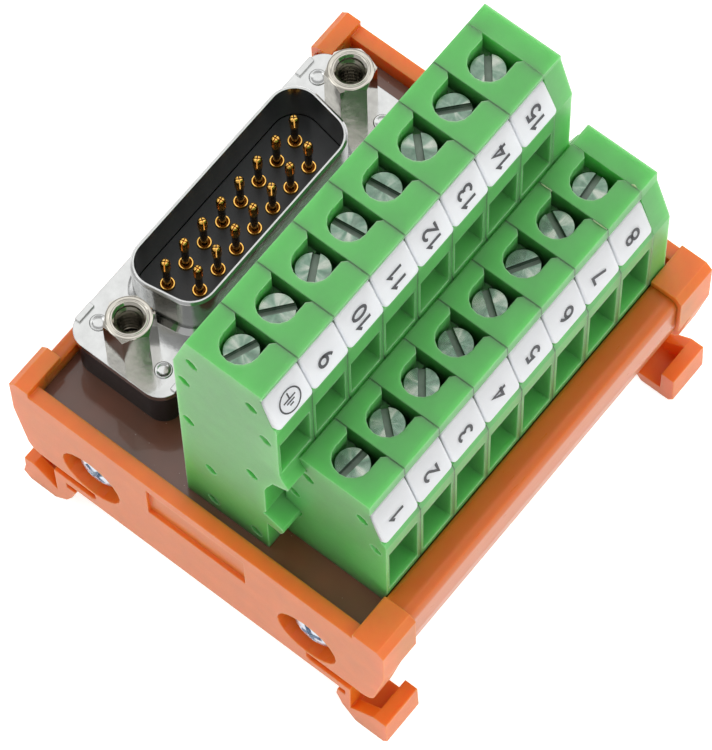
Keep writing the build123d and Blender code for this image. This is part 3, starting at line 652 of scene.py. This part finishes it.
bm = bmesh.new()
waists = bmesh.new()
for row, count in CONTACTS:
    for k in range(count):
        centre = (PLUG.x + (k - (count - 1) / 2) * CONTACT_PITCH, PLUG.y + row * CONTACT_ROWS / 2)
        turn = random.uniform(0, 90)
        for profile in (PIN_TAIL, PIN_COLLAR, PIN_NECK):
            lathe(bm, profile, centre, PIN_STEPS, turn)
        lathe(waists, PIN_WAIST, centre, WAIST_STEPS, turn)
        for petal in range(PETALS):
            rings = []
            for r, sink in PIN_PETAL:
                gap = math.degrees(math.asin(PETAL_GAP / r))
                start = turn + petal * 360 / PETALS
                points = arc(0, 0, r, r, start + gap, start + 360 / PETALS - gap, PETAL_STEPS)
                hub = math.radians(start + 180 / PETALS)
                points.append((PETAL_HUB * math.cos(hub), PETAL_HUB * math.sin(hub)))
                rings.append([Vector((centre[0] + x, centre[1] + y, TIP + sink)) for x, y in points])
            loft(bm, rings)
piece("plug_contacts", finished(bm, "contacts"), gold, smooth=True, stands_for="dsub_pins")
# The waists get the darkened gold, a painted reflection of the black insulator
piece("plug_contact_waists", finished(waists, "waists"), gold_dark_reflection, smooth=True)


# Screwlocks: the thread in the bore and the turned rim around it
THREAD_DEPTH = 0.24
THREAD_PITCH = 0.635
THREAD_STEPS = 32
THREAD_SINK = 0.2
# Section of the ridge, as (distance inwards, share of the pitch)
THREAD_RIDGE = ((0.01, 0.0), (THREAD_DEPTH, 0.3), (THREAD_DEPTH, 0.6), (0.01, 1.0))
CREST_NEAR = 0.03
# Section of the rim, as (radius, height above the top)
NUT_RIM = ((1.62, -0.1), (1.62, 0.03), (1.68, 0.06), (1.76, 0.06), (1.82, 0.01), (1.9, 0.01), (1.97, 0.05),
           (2.2, 0.05), (2.3, -0.02), (2.3, -0.1))
RIM_STEPS = 48


def thread(centre, low, high):
    """Helical ridge on the wall of a screwlock's bore, pointing inwards."""
    bm = bmesh.new()
    rings = []
    for k in range(int(((high - low) / THREAD_PITCH - 1) * THREAD_STEPS) + 1):
        a = 2 * math.pi * k / THREAD_STEPS
        d = Vector((math.cos(a), math.sin(a), 0))
        c = Vector((centre[0], centre[1], low + THREAD_PITCH * k / THREAD_STEPS))
        rings.append([c + d * (BORE_R - inset) + Vector((0, 0, THREAD_PITCH * share))
                      for inset, share in THREAD_RIDGE])
    loft(bm, rings)
    return finished(bm, "thread")


for side in ("near", "far"):
    centre = middle_mm(f"screwlock_{side}")
    top = box_mm(f"screwlock_{side}")[1].z
    mesh = thread(centre, top - BORE_DEEP + THREAD_SINK / 2, top - THREAD_SINK)
    # Painted shade: the thread is a darker nickel than the nut, but its crests keep the nut's own nickel
    ridge = piece(f"screwlock_thread_{side}", mesh, bore_shade_nickel, smooth=True)
    ridge.data.materials.append(nickel)
    for face in ridge.data.polygons:
        away = Vector((face.center.x / MM - centre.x, face.center.y / MM - centre.y))
        if abs(away.length - BORE_R + THREAD_DEPTH) < CREST_NEAR:
            face.material_index = 1
    bm = bmesh.new()
    lathe(bm, [(r, top + z) for r, z in NUT_RIM], centre, RIM_STEPS, hoop=True)
    piece(f"screwlock_rim_{side}", finished(bm, "rim"), nickel, smooth=True)

# Pressed dimples of the flange that hold the plug body, as (radius, height above the flange)
DIMPLE = ((0.92, -0.02), (0.9, 0.05), (0.82, 0.12), (0.74, 0.12), (0.6, 0.04), (0.45, 0.012), (0.05, 0.01))
DIMPLES_Y = (4.2, -3.8)
DIMPLE_OUT = 1.003
DIMPLE_STEPS = 36

bm = bmesh.new()
for side in ("near", "far"):
    x = middle_mm(f"screwlock_{side}").x * DIMPLE_OUT
    for dy in DIMPLES_Y:
        lathe(bm, [(r, BOARD + FLANGE_TOP + z) for r, z in DIMPLE], (x, PLUG.y + dy), DIMPLE_STEPS)
piece("flange_dimples", finished(bm, "dimples"), shell_tin, smooth=True)

# Plate screws: pan heads with a cross recess, on a threaded shank
PAN_R = 2.6
PAN_HIGH = 1.5
PAN = ((2.52, 0.0), (PAN_R, 0.08), (PAN_R, 0.5), (2.45, 0.85), (2.05, 1.2), (1.45, 1.42), (0.7, PAN_HIGH),
       (0.05, PAN_HIGH))
PAN_STEPS = 48
# Recess: half length and half width of the cross's bars, their depth, how far they are cut above the head,
# and their shares of that length at the floor and above the head
CROSS_LONG = 1.45
CROSS_WIDE = 0.36
CROSS_DEEP = 1.0
CROSS_OVER = 0.3
CROSS_LOW = 0.55
CROSS_HIGH = 1.12
CROSS_TAPER = 0.4
PLATE_SHANK = 9.0
PLATE_THREAD = 8.6
PLATE_PITCH = 0.6
PLATE_CREST_R = 1.4
PLATE_ROOT_R = 1.1
PLATE_STEPS = 20


def cut(mesh, tool):
    """Mesh with the tool's volume taken out."""
    objects = [bpy.data.objects.new("cut", data) for data in (mesh, tool)]
    for obj in objects:
        bpy.context.scene.collection.objects.link(obj)
    modifier = objects[0].modifiers.new("cut", "BOOLEAN")
    modifier.object = objects[1]
    modifier.solver = "EXACT"
    graph = bpy.context.evaluated_depsgraph_get()
    result = bpy.data.meshes.new_from_object(objects[0].evaluated_get(graph))
    for obj in objects:
        bpy.data.objects.remove(obj)
    return result


def pan_head():
    """Head in millimetres, its axis along Z and its seat at the origin."""
    bm = bmesh.new()
    lathe(bm, PAN, (0, 0), PAN_STEPS)
    head = finished(bm, "head", 1.0)
    for turn in (0, 90):
        bm = bmesh.new()
        rotate = Matrix.Rotation(math.radians(turn), 3, "Z")
        rings = []
        for share, z in ((CROSS_LOW, PAN_HIGH - CROSS_DEEP), (CROSS_HIGH, PAN_HIGH + CROSS_OVER)):
            a = CROSS_LONG * share
            b = CROSS_WIDE * (1 - CROSS_TAPER + CROSS_TAPER * share)
            corners = ((a, -b), (a, b), (-a, b), (-a, -b))
            rings.append([rotate @ Vector((x, y, z)) for x, y in corners])
        loft(bm, rings)
        head = cut(head, finished(bm, "cross", 1.0))
    return head


def plate_shank():
    """Threaded shank in millimetres, under a head's seat at the origin."""
    profile = [(PLATE_ROOT_R, -PLATE_SHANK)]
    z = 0.0
    while z > -PLATE_THREAD:
        profile.insert(1, (PLATE_CREST_R, z))
        profile.insert(1, (PLATE_ROOT_R, z - PLATE_PITCH / 2))
        z -= PLATE_PITCH
    bm = bmesh.new()
    lathe(bm, profile, (0, 0), PLATE_STEPS)
    return finished(bm, "shank", 1.0)


head = pan_head()
shank = plate_shank()
low, high = box_mm("end_plate_screws")
bm = bmesh.new()
for end, seat in ((-1, low.x + PAN_HIGH), (1, high.x - PAN_HIGH)):
    for side in (-1, 1):
        place = Vector((seat, side * (high.y - PAN_R), (low.z + high.z) / 2))
        axis = Vector((end, 0, 0)).to_track_quat("Z", "Y").to_matrix()
        spin = Matrix.Rotation(random.uniform(0, 1.5), 3, "Z")
        for part, turn in ((head, axis @ spin), (shank, axis)):
            made = part.copy()
            made.transform(Matrix.Translation(place) @ turn.to_4x4())
            bm.from_mesh(made)
piece("plate_screw_heads", finished(bm, "plate_screws"), zinc, smooth=True,
      stands_for="end_plate_screws")

# Thin moulding flash squeezed out of some joints of the lower row, as (joint, y from, y to, height, lean)
FLAKES = ((7, -10.6, -9.3, 0.3, -0.4), (7, -17.0, -15.4, 0.28, -0.6), (8, -16.6, -16.0, 0.25, 0.3))
FLAKE_STEPS = 7
FLAKE_ENDS = 0.15
FLAKE_SHARES = (0.04, 0.96)
FLAKE_RAGGED = (0.75, 1.0)
FLAKE_HALF = (0.05, 0.11)
FLAKE_EDGE = 0.02
FLAKE_ROOT = 0.06


def flake(bm, x, y_low, y_high, tall, lean):
    """Ragged fin that leans over as it rises from the top of the lower row."""
    rings = []
    for k in range(FLAKE_STEPS + 1):
        share = k / FLAKE_STEPS
        y = y_low + (y_high - y_low) * share
        swell = math.sin(math.pi * min(max(share, FLAKE_SHARES[0]), FLAKE_SHARES[1]))
        h = tall * (FLAKE_ENDS + (1 - FLAKE_ENDS) * swell) * random.uniform(*FLAKE_RAGGED)
        half = random.uniform(*FLAKE_HALF)
        root = LOWER_TOP - FLAKE_ROOT
        tip = x + lean * h
        section = ((x - half, root), (x + half, root),
                   (tip + FLAKE_EDGE, LOWER_TOP + h), (tip - FLAKE_EDGE, LOWER_TOP + h))
        rings.append([Vector((across, y, z)) for across, z in section])
    loft(bm, rings)


bm = bmesh.new()
for joint, y_low, y_high, tall, lean in FLAKES:
    flake(bm, LOWER_X0 + joint * PITCH, y_low, y_high, tall, lean)
piece("joint_flash", finished(bm, "flash"), flash_green)

# Camera, at the photograph's place
PHOTO_WIDE, PHOTO_HIGH = 712.0, 750.0
FOCAL_PX = 4677.755
CENTRE_PX = (352.019, 376.238)
CAMERA_RIGHT = Vector((0.622841, -0.782225, -0.013882))
CAMERA_UP = Vector((0.718843, 0.565190, 0.404753))
CAMERA_BACK = Vector((-0.308762, -0.262075, 0.914321))
CAMERA_PLACE = Vector((-0.142878, -0.119792, 0.431946))
scene = bpy.context.scene
lens = bpy.data.cameras.new("camera")
lens.sensor_fit = "HORIZONTAL"
lens.sensor_width = 36.0
lens.lens = FOCAL_PX * lens.sensor_width / PHOTO_WIDE
lens.shift_x = (PHOTO_WIDE / 2 - CENTRE_PX[0]) / PHOTO_WIDE
lens.shift_y = (CENTRE_PX[1] - PHOTO_HIGH / 2) / PHOTO_WIDE
lens.clip_start = 0.01
lens.clip_end = 20.0
camera = bpy.data.objects.new("camera", lens)
scene.collection.objects.link(camera)
place = Matrix((CAMERA_RIGHT, CAMERA_UP, CAMERA_BACK)).transposed().to_4x4()
place.translation = CAMERA_PLACE
camera.matrix_world = place
scene.camera = camera


# Floor and light
FLOOR_SHADE = 0.8
FLOOR_GLOW = 0.72
FLOOR_HALF = 3000.0
FLOOR_DROP = 0.2
WORLD_STRENGTH = 0.7
LAMP_AIM = Vector((0, 0, 0.03))


def floor_material():
    """Pale floor that keeps shadows and looks lighter, also in reflections, than the light it gives."""
    n = Nodes("floor")
    n.bsdf.inputs["Base Color"].default_value = (FLOOR_SHADE, FLOOR_SHADE, FLOOR_SHADE, 1)
    n.bsdf.inputs["Roughness"].default_value = 0.9
    n.bsdf.inputs["Specular IOR Level"].default_value = 0.0
    out = n.tree.nodes["Material Output"]
    path = n.add("ShaderNodeLightPath")
    either = n.add("ShaderNodeMath", operation="MAXIMUM")
    n.link(path.outputs["Is Camera Ray"], either.inputs[0])
    n.link(path.outputs["Is Glossy Ray"], either.inputs[1])
    glow = n.add("ShaderNodeEmission")
    glow.inputs["Strength"].default_value = FLOOR_GLOW
    join = n.add("ShaderNodeAddShader")
    n.link(n.bsdf.outputs["BSDF"], join.inputs[0])
    n.link(glow.outputs["Emission"], join.inputs[1])
    pick = n.add("ShaderNodeMixShader")
    n.link(either.outputs["Value"], pick.inputs["Fac"])
    n.link(n.bsdf.outputs["BSDF"], pick.inputs[1])
    n.link(join.outputs["Shader"], pick.inputs[2])
    n.link(pick.outputs["Shader"], out.inputs["Surface"])
    return n.mat


bm = bmesh.new()
bmesh.ops.create_grid(bm, x_segments=2, y_segments=2, size=FLOOR_HALF)
floor = bpy.data.objects.new("floor", finished(bm, "floor"))
scene.collection.objects.link(floor)
floor.data.materials.append(floor_material())
floor.location.z = -FLOOR_DROP * MM

world = bpy.data.worlds.new("world")
scene.world = world
world.use_nodes = True
background = world.node_tree.nodes["Background"]
background.inputs["Color"].default_value = (1, 1, 1, 1)
background.inputs["Strength"].default_value = WORLD_STRENGTH


def lamp(name, place, size, power):
    """Rectangular lamp that faces the part."""
    light = bpy.data.lights.new(name, "AREA")
    light.shape = "RECTANGLE"
    light.size, light.size_y = size
    light.energy = power
    obj = bpy.data.objects.new(name, light)
    scene.collection.objects.link(obj)
    obj.location = place
    aim = LAMP_AIM - Vector(place)
    obj.rotation_euler = aim.to_track_quat("-Z", "Y").to_euler()


lamp("key", (-0.35, 0.45, 0.75), (0.4, 0.4), 0.9)
lamp("fill", (-0.1, -0.5, 0.85), (0.5, 0.5), 0.9)
lamp("front", (-0.05, -0.85, 0.42), (0.5, 0.3), 1.8)
lamp("top", (0.6, -0.35, 0.75), (0.6, 0.6), 1.2)
lamp("sky", (0.3, 0.25, 0.9), (0.8, 0.8), 1.8)

scene.view_settings.view_transform = "Standard"
